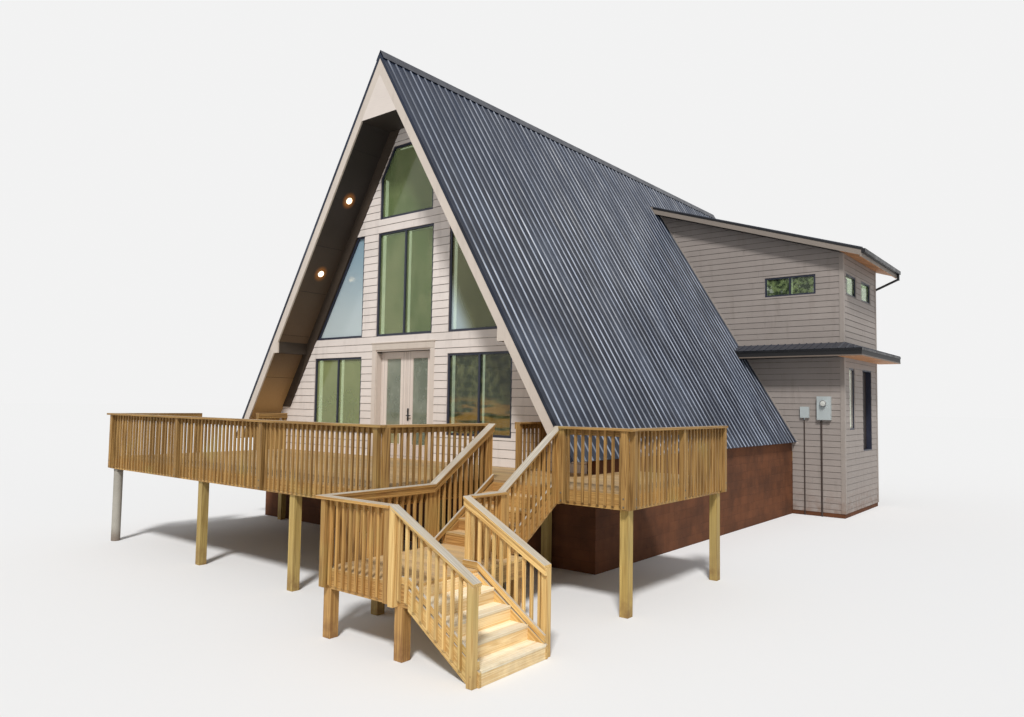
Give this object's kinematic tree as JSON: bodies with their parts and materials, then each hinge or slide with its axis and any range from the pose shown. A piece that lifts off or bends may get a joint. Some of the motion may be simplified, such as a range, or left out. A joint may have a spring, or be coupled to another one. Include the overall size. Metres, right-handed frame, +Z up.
{
  "type": "a-frame cabin",
  "caption": "Steep gabled cabin with a ribbed metal roof, glazed gable front, side wing with shed and pent roofs, and a raised timber deck with rails and stairs.",
  "frame": {"origin": "middle of the bounding box at ground level, which is the level of the stair foot", "axes": "+Z up, +Y from the glazed gable front towards the rear, +X to the right when facing the front"},
  "size_m": [12.689, 22.5788, 10.9201],
  "materials": {
    "foundation": "matte",
    "house_floors": "matte",
    "front_wall_left": "matte",
    "front_wall_right": "matte",
    "front_wall_upper": "matte",
    "rear_wall": "matte",
    "roof_left": "matte",
    "roof_right": "matte",
    "roof_metal_left": "satin",
    "roof_metal_right": "satin",
    "ridge_cap": "satin",
    "rake_fascias": "matte",
    "peak_panel": "matte",
    "soffit_beams": "matte",
    "soffit_lights": "matte",
    "front_frames": "matte",
    "front_glass": "satin",
    "front_door_frame": "matte",
    "door_left": "matte",
    "door_left_glass": "satin",
    "door_right": "matte",
    "door_right_glass": "satin",
    "wing_floors": "matte",
    "wing_wall_front": "matte",
    "wing_wall_side": "matte",
    "wing_wall_door": "matte",
    "wing_wall_rear": "matte",
    "wing_roof": "matte",
    "wing_roof_metal": "satin",
    "wing_gutter": "satin",
    "pent_roof": "matte",
    "wing_frames": "matte",
    "wing_glass": "satin",
    "wing_door_frame": "matte",
    "wing_door": "matte",
    "meter_box": "satin",
    "deck_boards": "matte",
    "deck_frame": "matte",
    "deck_posts": "matte",
    "deck_pier": "matte",
    "rail_front_left": "matte",
    "rail_left_sides": "matte",
    "rail_front_right": "matte",
    "rail_side_right": "matte",
    "rail_eaves": "matte",
    "upper_flight": "matte",
    "landing": "matte",
    "lower_flight": "matte",
    "rail_upper_flight": "matte",
    "rail_landing_front": "matte",
    "rail_landing_sides": "matte",
    "rail_lower_flight": "matte"
  },
  "bodies": {
    "cabin": {"foundation": "foundation", "house_floors": "house_floors", "front_wall_left": "front_wall_left", "front_wall_right": "front_wall_right", "front_wall_upper": "front_wall_upper", "rear_wall": "rear_wall", "roof_left": "roof_left", "roof_right": "roof_right", "roof_metal_left": "roof_metal_left", "roof_metal_right": "roof_metal_right", "ridge_cap": "ridge_cap", "rake_fascias": "rake_fascias", "peak_panel": "peak_panel", "soffit_beams": "soffit_beams", "soffit_lights": "soffit_lights", "front_frames": "front_frames", "front_glass": "front_glass", "front_door_frame": "front_door_frame", "wing_floors": "wing_floors", "wing_wall_front": "wing_wall_front", "wing_wall_side": "wing_wall_side", "wing_wall_door": "wing_wall_door", "wing_wall_rear": "wing_wall_rear", "wing_roof": "wing_roof", "wing_roof_metal": "wing_roof_metal", "wing_gutter": "wing_gutter", "pent_roof": "pent_roof", "wing_frames": "wing_frames", "wing_glass": "wing_glass", "wing_door_frame": "wing_door_frame", "meter_box": "meter_box", "deck_boards": "deck_boards", "deck_frame": "deck_frame", "deck_posts": "deck_posts", "deck_pier": "deck_pier", "rail_front_left": "rail_front_left", "rail_left_sides": "rail_left_sides", "rail_front_right": "rail_front_right", "rail_side_right": "rail_side_right", "rail_eaves": "rail_eaves", "upper_flight": "upper_flight", "landing": "landing", "lower_flight": "lower_flight", "rail_upper_flight": "rail_upper_flight", "rail_landing_front": "rail_landing_front", "rail_landing_sides": "rail_landing_sides", "rail_lower_flight": "rail_lower_flight"},
    "left_leaf": {"door_left": "door_left", "door_left_glass": "door_left_glass"},
    "right_leaf": {"door_right": "door_right", "door_right_glass": "door_right_glass"},
    "side_leaf": {"wing_door": "wing_door"}
  },
  "joints": [
    {"name": "left_leaf_hinge", "type": "hinge", "parent": "cabin", "child": "left_leaf", "pos_m": [-1.87848, -5.5279, 3], "axis": [0, 0, 1], "range_deg": [0, 90]},
    {"name": "right_leaf_hinge", "type": "hinge", "parent": "cabin", "child": "right_leaf", "pos_m": [-0.13248, -5.5279, 3], "axis": [0, 0, -1], "range_deg": [0, 90]},
    {"name": "side_door_hinge", "type": "hinge", "parent": "cabin", "child": "side_leaf", "pos_m": [5.45752, 7.9531, 3], "axis": [0, 0, -1], "range_deg": [0, 90]}
  ]
}
